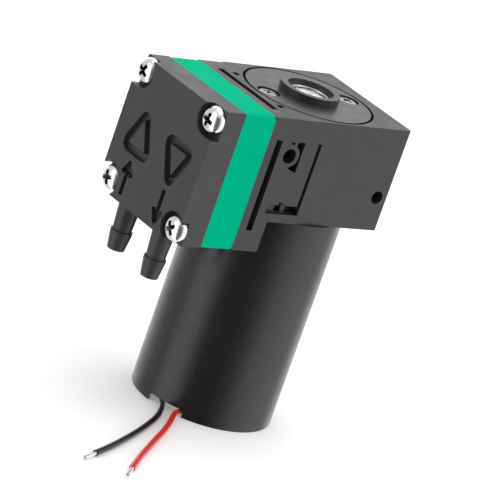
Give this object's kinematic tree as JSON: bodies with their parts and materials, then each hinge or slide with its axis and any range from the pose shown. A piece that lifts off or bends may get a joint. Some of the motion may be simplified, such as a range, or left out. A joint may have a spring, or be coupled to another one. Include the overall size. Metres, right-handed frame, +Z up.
{
  "type": "micro diaphragm pump",
  "caption": "Micro diaphragm pump: a round motor's eccentric and rod flex a diaphragm behind a square screwed head with hose barbs, disc valves and wire leads.",
  "frame": {"origin": "centre of the motor's bottom rim, on the motor axis, in the plane that the pump stands on", "axes": "+Z up along the motor axis; -Y is the way the pump head faces; +X to the right of someone who looks at the head, on the outlet barb's side"},
  "size_m": [0.048, 0.0619, 0.0652],
  "materials": {
    "black_moulding": "satin",
    "green_moulding": "satin",
    "cover_moulding": "satin",
    "nickel_screw": "polished",
    "zinc_screw": "satin",
    "seal_rubber": "matte",
    "valve_rubber": "matte",
    "motor_black": "satin",
    "can_steel": "satin",
    "bearing_steel": "polished",
    "cage_steel": "satin",
    "shaft_steel": "polished",
    "core_steel": "satin",
    "ferrite": "matte",
    "copper": "satin",
    "bronze": "satin",
    "weight_brass": "satin",
    "rod_plastic": "satin",
    "cap_plastic": "satin",
    "carbon": "matte",
    "black_insulation": "gloss",
    "red_insulation": "gloss",
    "tinned_copper": "polished"
  },
  "bodies": {
    "pump": {"pump_head": "black_moulding", "head_seal": "seal_rubber", "valve_plate": "green_moulding", "head_screws": "nickel_screw", "diaphragm": "seal_rubber", "housing": "black_moulding", "motor_screws": "zinc_screw", "bearing_cover": "cover_moulding", "cover_screws": "zinc_screw", "top_bearing_outer": "bearing_steel", "top_bearing_shields": "cage_steel", "motor_sleeve": "motor_black", "motor_can": "can_steel", "magnets": "ferrite", "front_bush": "bronze", "rear_bush": "bronze", "end_cap": "cap_plastic", "brushes": "carbon", "brush_arms": "bronze", "black_lead": "black_insulation", "red_lead": "red_insulation", "lead_tips": "tinned_copper"},
    "crank": {"motor_shaft": "shaft_steel", "armature_core": "core_steel", "windings": "copper", "commutator": "copper", "thrust_washers": "cap_plastic", "eccentric": "shaft_steel", "counterweight": "weight_brass", "grub_screw": "zinc_screw", "top_bearing_inner": "bearing_steel", "rod_bearing_inner": "bearing_steel"},
    "rod": {"connecting_rod": "rod_plastic", "rod_bearing_outer": "bearing_steel", "clamp_disc": "shaft_steel", "diaphragm_screw": "zinc_screw"},
    "top_cage": {"top_bearing_balls": "bearing_steel", "top_bearing_cage": "cage_steel"},
    "rod_cage": {"rod_bearing_balls": "bearing_steel", "rod_bearing_cage": "cage_steel"},
    "inlet_disc": {"inlet_valve": "valve_rubber"},
    "outlet_disc": {"outlet_valve": "valve_rubber"}
  },
  "joints": [
    {"name": "crank_spin", "type": "hinge", "parent": "pump", "child": "crank", "pos_m": [0, 0, 0.05025], "axis": [0, 0, 1], "continuous": true, "deforming": ["diaphragm"]},
    {"name": "rod_turn", "type": "hinge", "parent": "crank", "child": "rod", "pos_m": [0, 0.0012, 0.05025], "axis": [0, 0, 1], "continuous": true},
    {"name": "top_cage_turn", "type": "hinge", "parent": "pump", "child": "top_cage", "pos_m": [0, 0, 0.0622], "axis": [0, 0, 1], "continuous": true},
    {"name": "rod_cage_turn", "type": "hinge", "parent": "rod", "child": "rod_cage", "pos_m": [0, 0.0012, 0.05025], "axis": [0, 0, 1], "continuous": true},
    {"name": "inlet_lift", "type": "slide", "parent": "pump", "child": "inlet_disc", "axis": [0, 1, 0], "range_m": [0, 0.0006], "stiffness_N_per_m": 5},
    {"name": "outlet_lift", "type": "slide", "parent": "pump", "child": "outlet_disc", "axis": [0, -1, 0], "range_m": [0, 0.0006], "stiffness_N_per_m": 5}
  ],
  "couplings": [
    {"joint": "rod_turn", "follows": "crank_spin", "ratio": -1},
    {"joint": "top_cage_turn", "follows": "crank_spin", "ratio": 0.4077},
    {"joint": "rod_cage_turn", "follows": "crank_spin", "ratio": 0.4375}
  ]
}
